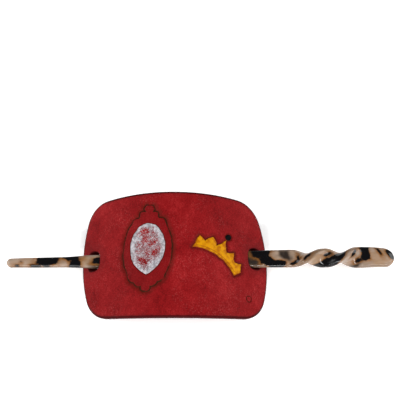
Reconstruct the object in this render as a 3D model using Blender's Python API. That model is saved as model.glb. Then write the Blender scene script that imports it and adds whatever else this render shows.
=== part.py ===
"""Leather stick barrette: an arched, wet-formed leather slide and the acetate stick that pins it.

Units are metres, +Z is up. The barrette lies face up on a table at z = 0. The origin is the middle of
the slide on the table. The stick runs along X over Y = 0: its round tip is at -X and its twisted handle
at +X. It passes over the slide's left rim, dives through the left hole, crosses under
the arch and comes out of the right hole over the right rim.
"""

import bpy
import bmesh
from math import atan2, cos, hypot, pi, radians, sin, sqrt

# Leather slide: the flat blank, then the arch it is wet-formed to.
LEATHER_THICKNESS = 0.0030
HALF_LENGTH = 0.0522
HALF_WIDTH = 0.0318
SIDE_RADIUS = 0.450
END_RADIUS = 0.058
CORNER_RADIUS = 0.016
EDGE_ROUND = 0.0006
ARCH_RADIUS = 0.066
FOOT_TRIM = 0.0005
BLANK_TURN = radians(-0.8)
BLANK_LEAN = -0.04
BEND_STRIPS = 26

# Acetate stick.
STICK_TIP_X = -0.0835
STICK_END_X = 0.1096
STICK_DROP = 0.0138
SHAFT_THICKNESS = 0.0042
HANDLE_THICKNESS = 0.0051
THICKEN_START_X = 0.0570
THICKEN_END_X = 0.0660
TWIST_START_X = 0.0595
TWIST_END_X = 0.0929
TWIST_EASE = 0.0030
TWIST_TURN = radians(-360)
SECTION_POWER = 2.8
SECTION_POINTS = 20
END_STEPS = 7
SHAFT_STEPS = 22
HANDLE_STEPS = 44
# The paddle's centre line drifts to -Y by this much over its last stretch, from PADDLE_SKEW_X on.
PADDLE_SKEW = 0.0006
PADDLE_SKEW_X = 0.0980
# Full width of the stick at places along X.
STICK_WIDTHS = (
    (-0.0835, 0.0045),
    (-0.0700, 0.0050),
    (-0.0540, 0.0052),
    (-0.0410, 0.0067),
    (0.0000, 0.0077),
    (0.0440, 0.0087),
    (0.0600, 0.0091),
    (0.0750, 0.0096),
    (0.0940, 0.0107),
    (0.1040, 0.0098),
    (0.1096, 0.0088),
)

# Holes: each is a slanting passage along the stick's path, as the stick leaves a punched hole.
LEFT_HOLE_WIDTH = 0.0096
RIGHT_HOLE_WIDTH = 0.0104
HOLE_HEIGHT = 0.0048
HOLE_INNER_X = 0.0200
HOLE_OUTER_X = 0.0700
HOLE_POINTS = 32

END_ANGLE = HALF_LENGTH / ARCH_RADIUS
ARCH_TOP_Z = ARCH_RADIUS - (ARCH_RADIUS - LEATHER_THICKNESS) * cos(END_ANGLE) - FOOT_TRIM
ARCH_CENTRE_Z = ARCH_TOP_Z - ARCH_RADIUS
STICK_AXIS_Z = ARCH_TOP_Z - STICK_DROP


def clear_scene():
    """Remove every object, so that the file holds only the barrette."""
    for old in list(bpy.data.objects):
        bpy.data.objects.remove(old, do_unlink=True)


def new_collection(name):
    collection = bpy.data.collections.new(name)
    bpy.context.scene.collection.children.link(collection)
    return collection


def new_material(name, color, roughness, metallic):
    material = bpy.data.materials.new(name)
    material.use_nodes = True
    shader = material.node_tree.nodes["Principled BSDF"]
    shader.inputs["Base Color"].default_value = (*color, 1.0)
    shader.inputs["Roughness"].default_value = roughness
    shader.inputs["Metallic"].default_value = metallic
    return material


def new_object(name, mesh, collection):
    thing = bpy.data.objects.new(name, mesh)
    collection.objects.link(thing)
    return thing


def arc(centre, radius, start, end, steps):
    """Points along an arc, both ends included."""
    points = []
    for step in range(steps + 1):
        angle = start + (end - start) * step / steps
        points.append((centre[0] + radius * cos(angle), centre[1] + radius * sin(angle)))
    return points


def tangent_corner():
    """Centre of the corner arc that touches the long side's arc and the end's arc from inside."""
    side_x, side_y = 0.0, HALF_WIDTH - SIDE_RADIUS
    end_x, end_y = HALF_LENGTH - END_RADIUS, 0.0
    side_reach = SIDE_RADIUS - CORNER_RADIUS
    end_reach = END_RADIUS - CORNER_RADIUS
    gap_x, gap_y = end_x - side_x, end_y - side_y
    gap = hypot(gap_x, gap_y)
    along = (side_reach ** 2 - end_reach ** 2 + gap ** 2) / (2 * gap)
    off = sqrt(side_reach ** 2 - along ** 2)
    return (side_x + along * gap_x / gap - off * -gap_y / gap,
            side_y + along * gap_y / gap - off * gap_x / gap)


def blank_outline():
    """Outline of the flat blank, once round: slow arcs for sides and ends, rounded corners.

    It is hand cut: it leans along X by BLANK_LEAN for each unit of Y, and it lies turned by BLANK_TURN
    against the line of its two holes.
    """
    corner = tangent_corner()
    side = (0.0, HALF_WIDTH - SIDE_RADIUS)
    end = (HALF_LENGTH - END_RADIUS, 0.0)
    side_angle = atan2(corner[1] - side[1], corner[0] - side[0])
    end_angle = atan2(corner[1] - end[1], corner[0] - end[0])
    quarter = arc(end, END_RADIUS, 0.0, end_angle, 6)
    quarter += arc(corner, CORNER_RADIUS, end_angle, side_angle, 8)[1:]
    quarter += arc(side, SIDE_RADIUS, side_angle, pi / 2, 5)[1:]
    left = [(-x, y) for x, y in reversed(quarter[:-1])]
    upper = quarter + left
    lower = [(x, -y) for x, y in reversed(upper[1:-1])]
    leaning = [(x + BLANK_LEAN * y, y) for x, y in upper + lower]
    return [(x * cos(BLANK_TURN) - y * sin(BLANK_TURN), x * sin(BLANK_TURN) + y * cos(BLANK_TURN))
            for x, y in leaning]


def flat_blank(collection):
    """The blank as a flat outline curve with rounded edges, made a mesh."""
    curve = bpy.data.curves.new("leather_blank", "CURVE")
    curve.dimensions = "2D"
    curve.fill_mode = "BOTH"
    curve.bevel_depth = EDGE_ROUND
    curve.bevel_resolution = 2
    curve.extrude = LEATHER_THICKNESS / 2 - EDGE_ROUND
    curve.offset = -EDGE_ROUND
    outline = blank_outline()
    spline = curve.splines.new("POLY")
    spline.points.add(len(outline) - 1)
    for point, (x, y) in zip(spline.points, outline):
        point.co = (x, y, 0.0, 1.0)
    spline.use_cyclic_u = True
    blank = new_object("leather_blank", curve, collection)
    graph = bpy.context.evaluated_depsgraph_get()
    mesh = bpy.data.meshes.new_from_object(blank.evaluated_get(graph))
    bpy.data.objects.remove(blank, do_unlink=True)
    return mesh


def bend_to_arch(sheet):
    """Slice the flat sheet into strips along X, then roll it round the arch's centre line."""
    for strip in range(1, BEND_STRIPS):
        place = HALF_LENGTH * (2 * strip / BEND_STRIPS - 1)
        geometry = sheet.verts[:] + sheet.edges[:] + sheet.faces[:]
        bmesh.ops.bisect_plane(sheet, geom=geometry, plane_co=(place, 0, 0), plane_no=(1, 0, 0), dist=1e-7)
    bmesh.ops.triangulate(sheet, faces=sheet.faces[:])
    for vertex in sheet.verts:
        angle = vertex.co.x / ARCH_RADIUS
        radius = ARCH_RADIUS - LEATHER_THICKNESS / 2 + vertex.co.z
        vertex.co = (radius * sin(angle), vertex.co.y, ARCH_CENTRE_Z + radius * cos(angle))


def trim_feet(sheet):
    """Flatten the lowest line of both ends, so that the slide sits level on a table."""
    geometry = sheet.verts[:] + sheet.edges[:] + sheet.faces[:]
    cut = bmesh.ops.bisect_plane(sheet, geom=geometry, plane_co=(0, 0, 0), plane_no=(0, 0, 1),
                                 dist=1e-7, clear_inner=True)
    rims = [item for item in cut["geom_cut"] if isinstance(item, bmesh.types.BMEdge)]
    feet = bmesh.ops.edgeloop_fill(sheet, edges=rims)["faces"]
    bmesh.ops.recalc_face_normals(sheet, faces=sheet.faces[:])
    bmesh.ops.triangulate(sheet, faces=feet)


def superellipse(half_width, half_height, power, count):
    """Section of a polished bar: a rounded rectangle as one closed formula curve."""
    points = []
    for step in range(count):
        angle = 2 * pi * step / count
        across, up = cos(angle), sin(angle)
        points.append((half_width * abs(across) ** (2 / power) * (1 if across >= 0 else -1),
                       half_height * abs(up) ** (2 / power) * (1 if up >= 0 else -1)))
    return points


def loft_bar(name, stations, power, count):
    """Skin a bar through stations of (x, half width, half height, turn about X, shift along Y)."""
    bar = bmesh.new()
    rings = []
    for x, half_width, half_height, turn, shift in stations:
        ring = []
        for across, up in superellipse(half_width, half_height, power, count):
            ring.append(bar.verts.new((x, shift + across * cos(turn) - up * sin(turn),
                                       across * sin(turn) + up * cos(turn))))
        rings.append(ring)
    for near, far in zip(rings, rings[1:]):
        for side in range(count):
            other = (side + 1) % count
            bar.faces.new((near[side], near[other], far[other], far[side]))
    bar.faces.new(rings[0][::-1])
    bar.faces.new(rings[-1])
    bmesh.ops.recalc_face_normals(bar, faces=bar.faces[:])
    bmesh.ops.triangulate(bar, faces=bar.faces[:])
    mesh = bpy.data.meshes.new(name)
    bar.to_mesh(mesh)
    bar.free()
    return mesh


def ease(value, low, high):
    """Smooth step from 0 at low to 1 at high."""
    part = min(1.0, max(0.0, (value - low) / (high - low)))
    return part * part * (3 - 2 * part)


def stick_width(x):
    """Full width of the stick at x, straight between the stated places."""
    for (near_x, near_width), (far_x, far_width) in zip(STICK_WIDTHS, STICK_WIDTHS[1:]):
        if x <= far_x:
            part = (x - near_x) / (far_x - near_x)
            return near_width + (far_width - near_width) * part
    return STICK_WIDTHS[-1][1]


def stick_thickness(x):
    return SHAFT_THICKNESS + (HANDLE_THICKNESS - SHAFT_THICKNESS) * ease(x, THICKEN_START_X, THICKEN_END_X)


def stick_turn(x):
    """Turn of the section about X: one whole left-hand turn, its rate eased in and out."""
    start = TWIST_START_X - TWIST_EASE / 2
    end = TWIST_END_X + TWIST_EASE / 2
    if x <= start:
        return 0.0
    if x >= end:
        return TWIST_TURN
    rate = TWIST_TURN / (TWIST_END_X - TWIST_START_X)
    if x < start + TWIST_EASE:
        return rate * (x - start) ** 2 / (2 * TWIST_EASE)
    if x > end - TWIST_EASE:
        return TWIST_TURN - rate * (end - x) ** 2 / (2 * TWIST_EASE)
    return rate * (x - TWIST_START_X)


def stick_shift(x):
    return -PADDLE_SKEW * ease(x, PADDLE_SKEW_X, STICK_END_X)


def station(x, swell=1.0):
    """The stick's section at x. A swell under 1 draws it in for a rounded end."""
    half_width = stick_width(x) / 2 * swell
    half_height = stick_thickness(x) / 2 * sqrt(swell)
    return (x, half_width, half_height, stick_turn(x), stick_shift(x))


def stick_stations():
    """Stations along the stick: a round tip, the long shaft, the close-set twist and a round end."""
    tip_radius = stick_width(STICK_TIP_X) / 2
    end_radius = stick_width(STICK_END_X) / 2
    shaft_start = STICK_TIP_X + tip_radius
    shaft_length = TWIST_START_X - TWIST_EASE - shaft_start
    handle_length = STICK_END_X - end_radius - shaft_start - shaft_length
    turns = [pi / 2 * step / END_STEPS for step in range(1, END_STEPS + 1)]
    tip = [station(STICK_TIP_X + tip_radius * (1 - cos(turn)), sin(turn)) for turn in turns]
    shaft = [station(shaft_start + shaft_length * step / SHAFT_STEPS) for step in range(1, SHAFT_STEPS)]
    handle = [station(shaft_start + shaft_length + handle_length * step / HANDLE_STEPS)
              for step in range(HANDLE_STEPS)]
    end = [station(STICK_END_X - end_radius * (1 - cos(turn)), sin(turn)) for turn in reversed(turns)]
    return tip + shaft + handle + end


def hole_cutters(collection):
    """A straight bar through each end of the arch, along the stick's path and a little larger."""
    cutters = []
    for name, side, width in (("left_hole", -1, LEFT_HOLE_WIDTH), ("right_hole", 1, RIGHT_HOLE_WIDTH)):
        stations = [(side * x, width / 2, HOLE_HEIGHT / 2, 0.0, 0.0) for x in (HOLE_INNER_X, HOLE_OUTER_X)]
        bar = loft_bar(name, stations, SECTION_POWER, HOLE_POINTS)
        cutter = new_object(name, bar, collection)
        cutter.location = (0.0, 0.0, STICK_AXIS_Z)
        cutter.hide_render = True
        cutter.display_type = "WIRE"
        cutters.append(cutter)
    return cutters


def shade_round(thing):
    thing.data.shade_smooth()
    thing.data.set_sharp_from_angle(angle=radians(35))


def make_leather_plate(parts, cutters):
    """The slide: a dyed vegetable-tanned sheet, formed over a curved block while wet."""
    mesh = flat_blank(parts)
    sheet = bmesh.new()
    sheet.from_mesh(mesh)
    bmesh.ops.remove_doubles(sheet, verts=sheet.verts[:], dist=1e-6)
    bend_to_arch(sheet)
    trim_feet(sheet)
    sheet.to_mesh(mesh)
    sheet.free()
    plate = new_object("leather_plate", mesh, parts)
    mesh.materials.clear()
    mesh.materials.append(new_material("red_leather", (0.275, 0.014, 0.017), 0.52, 0.0))
    shade_round(plate)
    for cutter in hole_cutters(cutters):
        cut = plate.modifiers.new(cutter.name, "BOOLEAN")
        cut.operation = "DIFFERENCE"
        cut.solver = "EXACT"
        cut.object = cutter
    return plate


def make_acetate_stick(parts):
    """The stick: sawn from tortoise acetate sheet, tumbled round, its handle twisted while hot."""
    mesh = loft_bar("acetate_stick", stick_stations(), SECTION_POWER, SECTION_POINTS)
    stick = new_object("acetate_stick", mesh, parts)
    stick.location = (0.0, 0.0, STICK_AXIS_Z)
    mesh.materials.append(new_material("tortoise_acetate", (0.42, 0.25, 0.15), 0.18, 0.0))
    shade_round(stick)
    return stick


def main():
    clear_scene()
    parts = new_collection("leather_stick_barrette")
    cutters = new_collection("cutters")
    make_leather_plate(parts, cutters)
    make_acetate_stick(parts)


main()
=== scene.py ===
# %% [markdown]
# # A leather stick barrette
#
# The object is a hair slide of two pieces. One is a sheet of dyed leather, cut to a rounded blank, carved
# and painted with a mirror and a crown, and formed to an arch while wet. The other is a stick of tortoise
# acetate with a twisted handle. The stick passes through two holes and holds the hair under the arch.
#
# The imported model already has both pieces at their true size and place. We could sculpt the fine surfaces
# by hand, but a script that draws them from a few measures can be read, checked and changed. So we load
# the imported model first, and then build one finished piece round each packed one.

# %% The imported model
from math import atan2, cos, hypot, pi, radians, sin, sqrt

import bmesh
import bpy
import numpy as np
from mathutils import Matrix, Vector, noise
from mathutils.geometry import delaunay_2d_cdt


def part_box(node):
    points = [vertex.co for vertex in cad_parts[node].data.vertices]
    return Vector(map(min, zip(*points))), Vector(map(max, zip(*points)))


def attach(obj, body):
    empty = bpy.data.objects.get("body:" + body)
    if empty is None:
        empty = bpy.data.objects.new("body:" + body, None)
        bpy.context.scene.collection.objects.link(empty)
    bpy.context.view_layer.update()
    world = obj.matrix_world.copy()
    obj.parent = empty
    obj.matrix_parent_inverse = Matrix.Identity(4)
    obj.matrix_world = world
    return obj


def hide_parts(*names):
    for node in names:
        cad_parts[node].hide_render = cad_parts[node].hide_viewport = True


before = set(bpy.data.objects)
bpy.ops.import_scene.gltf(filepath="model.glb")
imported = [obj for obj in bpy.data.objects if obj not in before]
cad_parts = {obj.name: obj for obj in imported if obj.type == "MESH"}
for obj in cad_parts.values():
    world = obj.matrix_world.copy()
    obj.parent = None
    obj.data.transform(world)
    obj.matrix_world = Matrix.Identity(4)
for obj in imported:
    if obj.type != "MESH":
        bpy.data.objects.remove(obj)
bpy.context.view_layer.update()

_, plate_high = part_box("leather_plate")
stick_low, stick_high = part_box("acetate_stick")

# %% [markdown]
# ## Units
#
# A leather worker and an acetate worker both measure in millimetres, and Blender's scene is in metres.
# We draw the flat sheet and the straight bar in millimetres, because tool marks are tenths of one, and
# turn the points into metres in the one step that puts them in the scene.

# %% Millimetres and metres
MM = 0.001

arch_top = plate_high.z / MM
stick_axis = (stick_low.z + stick_high.z) / 2 / MM
print(f"arch top {arch_top:.2f} mm, stick axis {stick_axis:.2f} mm above the table")

# %% [markdown]
# ## The camera
#
# A slide is usually shown from above, with the camera leaning a little to the front so that the thickness
# of the front edge can be seen. We could aim the camera with a Track To constraint. It is plainer to work
# out the three directions of its view from a lean and a roll, because they also say how far the camera
# stands to the right of the arch's top and above it.

# %% Camera
VIEW_LEAN = radians(22.0)
VIEW_ROLL = radians(0.95)
VIEW_DISTANCE = 340 * MM
VIEW_RIGHT = 12.95 * MM
VIEW_UP = 25.0 * MM
SENSOR_WIDTH = 36.0
LENS = 63.6


def add_object(name, data):
    """Make an object of the data and put it in the scene."""
    made = bpy.data.objects.new(name, data)
    bpy.context.scene.collection.objects.link(made)
    return made


def aim_camera():
    """Put the camera over the arch, leaning to the front by VIEW_LEAN and rolled by VIEW_ROLL."""
    level_right = Vector((1, 0, 0))
    level_up = Vector((0, cos(VIEW_LEAN), sin(VIEW_LEAN)))
    back = Vector((0, -sin(VIEW_LEAN), cos(VIEW_LEAN)))
    right = level_right * cos(VIEW_ROLL) - level_up * sin(VIEW_ROLL)
    up = level_right * sin(VIEW_ROLL) + level_up * cos(VIEW_ROLL)
    lens = bpy.data.cameras.new("bench_camera")
    lens.lens = LENS
    lens.sensor_width = SENSOR_WIDTH
    camera = add_object("bench_camera", lens)
    place = Vector((0, 0, plate_high.z)) + back * VIEW_DISTANCE + right * VIEW_RIGHT + up * VIEW_UP
    camera.matrix_world = Matrix.Translation(place) @ Matrix((right, up, back)).transposed().to_4x4()
    bpy.context.scene.camera = camera
    return camera


camera = aim_camera()
print("camera at", [round(value, 3) for value in camera.matrix_world.translation])

# %% [markdown]
# ## Reading a finish like arithmetic
#
# A finish such as dyed leather is a long sum of small effects: pores, streaks, dye in a cut. Built node by
# node, that sum is hard to read. The class Wire wraps one socket and gives it plus, minus and times, so that
# 1 - mask adds the right Math node. The class Finish owns the material. Its method node makes any other
# node from its type, its settings and what goes into its sockets.

# %% Wires
class Wire:
    """One output socket of a finish, which can be used in sums."""

    def __init__(self, finish, socket):
        self.finish = finish
        self.socket = socket

    def __add__(self, other):
        return self.finish.sum("ADD", self, other)

    def __radd__(self, other):
        return self.finish.sum("ADD", other, self)

    def __sub__(self, other):
        return self.finish.sum("SUBTRACT", self, other)

    def __rsub__(self, other):
        return self.finish.sum("SUBTRACT", other, self)

    def __mul__(self, other):
        return self.finish.sum("MULTIPLY", self, other)

    def __rmul__(self, other):
        return self.finish.sum("MULTIPLY", other, self)

    def __neg__(self):
        return self.finish.sum("SUBTRACT", 0.0, self)

    def __abs__(self):
        return self.finish.sum("ABSOLUTE", self, 0.0)

    def larger(self, other):
        """The larger of the two at each place, which lays one mask over another."""
        return self.finish.sum("MAXIMUM", self, other)

    def ramp(self, low, high):
        """0 below low, 1 above high and an eased step between."""
        span = {"Value": self, "From Min": low, "From Max": high}
        return self.finish.node("ShaderNodeMapRange", {"interpolation_type": "SMOOTHSTEP"}, span)

    def near(self, full, gone):
        """1 up to full, 0 from gone on: how strongly something shows close by."""
        return 1 - self.ramp(full, gone)


# %% Finishes
class Finish:
    """A material with a Principled shader, and the ways to wire it."""

    def __init__(self, name):
        self.material = bpy.data.materials.new(name)
        self.material.use_nodes = True
        self.tree = self.material.node_tree
        self.shader = self.tree.nodes["Principled BSDF"]

    def fill(self, socket, value):
        """Link a wire to the socket, or set a plain value on it."""
        if isinstance(value, Wire):
            self.tree.links.new(value.socket, socket)
        else:
            socket.default_value = value

    def node(self, kind, settings, inputs, output=0):
        """Make a node, set its settings, fill its sockets and hand back one output."""
        made = self.tree.nodes.new(kind)
        for name, value in settings.items():
            setattr(made, name, value)
        for name, value in inputs.items():
            self.fill(made.inputs[name], value)
        return Wire(self, made.outputs[output])

    def sum(self, operation, first, second):
        """A Math node on two wires or numbers."""
        return self.node("ShaderNodeMath", {"operation": operation}, {0: first, 1: second})

    def blend(self, share, first, second):
        """The first colour where share is 0 and the second where it is 1."""
        settings = {"data_type": "RGBA", "clamp_factor": True}
        return self.node("ShaderNodeMix", settings, {0: share, 6: first, 7: second}, 2)

    def read(self, name, output="Fac"):
        """A value that the mesh holds at each of its points."""
        return self.node("ShaderNodeAttribute", {"attribute_name": name}, {}, output)

    def cloud(self, place, size, detail=2.0, rough=0.5, along=1.0, across=1.0):
        """Noise round 0.5 with lumps of about size, drawn out along or across where that is under 1."""
        if along != across:
            scale = (along, across, 1.0)
            place = self.node("ShaderNodeVectorMath", {"operation": "MULTIPLY"}, {0: place, 1: scale})
        inputs = {"Vector": place, "Scale": 1 / size, "Detail": detail, "Roughness": rough}
        return self.node("ShaderNodeTexNoise", {}, inputs, "Fac")

    def cells(self, place, size):
        """Distance to the nearest of many scattered dots, in units of size."""
        inputs = {"Vector": place, "Scale": 1 / size}
        return self.node("ShaderNodeTexVoronoi", {"feature": "F1"}, inputs, "Distance")

    def raise_surface(self, height):
        """A normal that follows a height in millimetres."""
        inputs = {"Strength": 1.0, "Distance": MM, "Height": height}
        return self.node("ShaderNodeBump", {}, inputs)

    def surface(self, values):
        """Fill the Principled shader's own sockets and hand back the material."""
        for name, value in values.items():
            self.fill(self.shader.inputs[name], value)
        return self.material


def dye(red, green, blue):
    """A swatch given as 0 to 255 values, as the linear colour that the shader adds up."""
    parts = [part / 255 for part in (red, green, blue)]
    linear = [part / 12.92 if part <= 0.04045 else ((part + 0.055) / 1.055) ** 2.4 for part in parts]
    return (*linear, 1.0)


print("a mid red swatch is", [round(part, 3) for part in dye(152, 32, 35)])

# %% [markdown]
# ## The table and the light
#
# Leather and polished acetate show what is round them. A small bright lamp would make hard white spots,
# and a bright ceiling would put a grey veil over the red. Such a piece is best shown on white paper,
# between large soft screens that stand low at its sides, with little light straight above. We do the same:
# a large area lamp on each side, a narrow bright one in front that draws a thin gleam along the stick, and
# a faint white room. The paper lies on a light box, so it glows a little and its shadows stay faint. It is
# a plain sheet, and not part of the object.

# %% White paper
FLOOR_SIZE = 6.0
FIBRE_SIZE = 4 * MM
FIBRE_GREY = dye(247, 247, 247)
FIBRE_WHITE = dye(252, 252, 252)
LIGHT_BOX_GLOW = 0.4
WHITE = (1.0, 1.0, 1.0, 1.0)


def lay_paper():
    """A wide pale sheet on the table, with the slightest tooth so that it isn't a perfect plane of colour."""
    sheet = bmesh.new()
    bmesh.ops.create_grid(sheet, x_segments=4, y_segments=4, size=FLOOR_SIZE / 2)
    mesh = bpy.data.meshes.new("white_paper")
    sheet.to_mesh(mesh)
    sheet.free()
    floor = add_object("white_paper", mesh)
    paper = Finish("white_paper")
    place = paper.node("ShaderNodeTexCoord", {}, {}, "Object")
    fibre = paper.cloud(place, FIBRE_SIZE, 3.0)
    mesh.materials.append(paper.surface({
        "Base Color": paper.blend(fibre, FIBRE_GREY, FIBRE_WHITE),
        "Roughness": 0.9,
        "Specular IOR Level": 0.2,
        "Emission Color": WHITE,
        "Emission Strength": LIGHT_BOX_GLOW,
    }))
    return floor


floor = lay_paper()
print("paper", FLOOR_SIZE, "m wide")

# %% Screens and room light
ROOM_LIGHT = 0.09
SCREEN_DISTANCE = 1.5
# Each screen: its name, the direction it stands in (0 is +X), its height angle, its size and its watts.
SCREENS = (
    ("right_screen", radians(8), radians(36), (1.3, 0.9), 17.5),
    ("left_screen", radians(172), radians(36), (1.3, 0.9), 17.5),
    ("front_strip", radians(-92), radians(27), (1.5, 0.1), 19),
)


def hang_screen(name, direction, height, size, power):
    """A large rectangular lamp that faces the middle of the table."""
    lamp = bpy.data.lights.new(name, "AREA")
    lamp.shape = "RECTANGLE"
    lamp.size, lamp.size_y = size
    lamp.energy = power
    screen = add_object(name, lamp)
    outward = Vector((cos(direction) * cos(height), sin(direction) * cos(height), sin(height)))
    screen.location = outward * SCREEN_DISTANCE
    screen.rotation_mode = "QUATERNION"
    screen.rotation_quaternion = outward.to_track_quat("Z", "Y")
    screen.visible_camera = False
    return screen


def light_room():
    """An even white room that only fills the shadows."""
    world = bpy.data.worlds.new("pale_room")
    world.use_nodes = True
    background = world.node_tree.nodes["Background"]
    background.inputs["Color"].default_value = WHITE
    background.inputs["Strength"].default_value = ROOM_LIGHT
    bpy.context.scene.world = world
    bpy.context.scene.view_settings.view_transform = "Standard"


screens = [hang_screen(*screen) for screen in SCREENS]
light_room()
print(len(screens), "screens")

# %% [markdown]
# ## Lines made of arcs
#
# The mirror and the crown are drawn the way a pattern maker draws them: from one corner to the next, with
# each stretch bowed out or in by a small amount. A Bezier curve could follow them too, but its handles say
# little about the shape. So one helper makes both outlines from corners and bows. The bow is the height of
# the arc over the straight line to the corner. A bow of 0 is a straight cut, and a negative bow is scooped
# inwards.

# %% Bowed stretches
LINE_STEP = 0.25
STRAIGHT = 1e-6


def bowed(start, end, bow):
    """Points from start to end along a flat arc that stands bow to the left of the chord, end left out."""
    start, end = np.array(start, float), np.array(end, float)
    chord = end - start
    length = hypot(*chord)
    side = np.array((-chord[1], chord[0])) / length
    count = max(2, round(length / LINE_STEP))
    part = np.arange(count) / count
    if abs(bow) < STRAIGHT:
        return start + part[:, None] * chord
    radius = (length ** 2 / 4 + bow ** 2) / (2 * bow)
    centre = (start + end) / 2 + side * (bow - radius)
    from_angle = atan2(*(start - centre)[::-1])
    to_angle = atan2(*(end - centre)[::-1])
    turn = (to_angle - from_angle + pi) % (2 * pi) - pi
    angles = from_angle + turn * part
    return centre + abs(radius) * np.column_stack((np.cos(angles), np.sin(angles)))


def drawn(corners):
    """A closed line through (x, y, bow) corners; each bow belongs to the stretch that leads to its corner."""
    stretches = []
    for (x0, y0, _), (x1, y1, bow) in zip(corners, corners[1:] + corners[:1]):
        stretches.append(bowed((x0, y0), (x1, y1), bow))
    return np.vstack(stretches)


def turned(line, angle, centre):
    """The line turned by angle about (0, 0) and then moved to centre."""
    spin = np.array(((cos(angle), sin(angle)), (-sin(angle), cos(angle))))
    return line @ spin + centre


print("a stretch 10 mm long has", len(bowed((0, 0), (10, 0), 1)), "points")

# %% [markdown]
# ## The flat blank
#
# The leather starts as a flat blank with slowly curved sides and ends and round corners, cut a little
# askew by hand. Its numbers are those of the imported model, so the finished piece fills the same space. We
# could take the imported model's own edge, but that has no more corners than its weight and fit ask for. A
# formula gives as many points as a smooth polished edge needs.

# %% Outline of the blank
THICKNESS = 3.0
HALF_LENGTH = 52.2
HALF_WIDTH = 31.8
SIDE_RADIUS = 450.0
END_RADIUS = 58.0
CORNER_RADIUS = 16.0
BLANK_TURN = radians(-0.8)
BLANK_LEAN = -0.04
EDGE_STEP = 0.55


def arc(centre, radius, start, end, step):
    """Points along an arc, the last one left out."""
    count = max(2, round(radius * abs(end - start) / step))
    angles = start + (end - start) * np.arange(count) / count
    return np.column_stack((centre[0] + radius * np.cos(angles), centre[1] + radius * np.sin(angles)))


def corner_centre():
    """Centre of the corner arc that touches the side's arc and the end's arc from inside."""
    side_reach = SIDE_RADIUS - CORNER_RADIUS
    end_reach = END_RADIUS - CORNER_RADIUS
    gap_x, gap_y = HALF_LENGTH - END_RADIUS, SIDE_RADIUS - HALF_WIDTH
    gap = hypot(gap_x, gap_y)
    along = (side_reach ** 2 - end_reach ** 2 + gap ** 2) / (2 * gap)
    off = sqrt(side_reach ** 2 - along ** 2)
    return (along * gap_x + off * gap_y) / gap, (along * gap_y - off * gap_x) / gap - gap_y


def blank_outline():
    """The blank's edge, once round against the clock."""
    corner = corner_centre()
    side = (0.0, HALF_WIDTH - SIDE_RADIUS)
    end = (HALF_LENGTH - END_RADIUS, 0.0)
    side_angle = atan2(corner[1] - side[1], corner[0] - side[0])
    end_angle = atan2(corner[1] - end[1], corner[0] - end[0])
    quarter = np.vstack((
        arc(end, END_RADIUS, 0.0, end_angle, EDGE_STEP),
        arc(corner, CORNER_RADIUS, end_angle, side_angle, EDGE_STEP),
        arc(side, SIDE_RADIUS, side_angle, pi / 2, EDGE_STEP),
    ))
    top = np.vstack((quarter, ((0.0, HALF_WIDTH),), quarter[:0:-1] * (-1, 1)))
    line = np.vstack((top, top * (-1, -1)))
    leaning = np.column_stack((line[:, 0] + BLANK_LEAN * line[:, 1], line[:, 1]))
    return turned(leaning, BLANK_TURN, (0.0, 0.0))


blank_line = blank_outline()
print("blank:", np.ptp(blank_line, axis=0).round(1), "mm,", len(blank_line), "points round its edge")

# %% [markdown]
# ## Bending the sheet
#
# Wet leather keeps the curve of the block it dries on. Everything on the sheet is drawn flat, where the
# carving is easy to measure, and one function rolls the flat points round the block. A Simple Deform
# modifier could bend the mesh too, but a formula lets us ask where a flat point will be, which we need
# for the holes.

# %% Arch
ARCH_RADIUS = 66.0
arch_centre = arch_top - ARCH_RADIUS


def bend(flat):
    """Flat points (along, across, height over the sheet's middle) as places in the scene, in millimetres."""
    angle = flat[:, 0] / ARCH_RADIUS
    radius = ARCH_RADIUS - THICKNESS / 2 + flat[:, 2]
    place = np.column_stack((radius * np.sin(angle), flat[:, 1], arch_centre + radius * np.cos(angle)))
    place[:, 2] = np.clip(place[:, 2], 0.0, arch_top)
    return place


crest = bend(np.array(((0.0, 0.0, THICKNESS / 2),)))
print("the crest is", round(float(crest[0, 2]), 2), "mm high")

# %% [markdown]
# ## The holes
#
# Each hole is a short slanting passage, because the stick slides level through a sheet that is sloping
# there. On the outer face the hole sits nearer the middle at its top, and deeper in the leather it moves
# inwards. We need its edge at any depth, so the passage is a rounded bar shape in the view along the
# stick, and the arch's formula says where the sheet meets it.

# %% Edge of a hole at a depth
HOLE_HEIGHT = 4.8
# Width of the left (-1) and the right (1) hole.
HOLE_WIDTHS = {-1: 9.6, 1: 10.4}
# 2 would make the section an ellipse, and a large number a rectangle.
SECTION_POWER = 2.8
HOLE_POINTS = 96


def rounded_bar(half_width, half_height, count):
    """Section of a polished bar: a rounded rectangle as one closed formula curve, against the clock."""
    angles = 2 * pi * np.arange(count) / count
    across, up = np.cos(angles), np.sin(angles)
    return np.column_stack((half_width * np.sign(across) * np.abs(across) ** (2 / SECTION_POWER),
                            half_height * np.sign(up) * np.abs(up) ** (2 / SECTION_POWER)))


def hole_line(side, height):
    """Edge of the left (-1) or right (1) hole on the flat sheet, at a height over the sheet's middle."""
    section = rounded_bar(HOLE_WIDTHS[side] / 2, HOLE_HEIGHT / 2, HOLE_POINTS)
    radius = ARCH_RADIUS - THICKNESS / 2 + height
    along = ARCH_RADIUS * np.arccos((stick_axis + section[:, 1] - arch_centre) / radius)
    return np.column_stack((side * along, section[:, 0]))


def grown(line, amount):
    """The closed line moved outwards by amount, whichever way round it runs."""
    along = np.roll(line, -1, axis=0) - np.roll(line, 1, axis=0)
    outward = np.column_stack((along[:, 1], -along[:, 0])) / np.hypot(*along.T)[:, None]
    area = np.sum(line[:, 0] * np.roll(line[:, 1], -1) - line[:, 1] * np.roll(line[:, 0], -1))
    return line + np.sign(area) * amount * outward


for side in HOLE_WIDTHS:
    size = np.ptp(hole_line(side, THICKNESS / 2), axis=0)
    print("hole on side", side, "is", size.round(1), "mm on the outer face")

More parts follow.
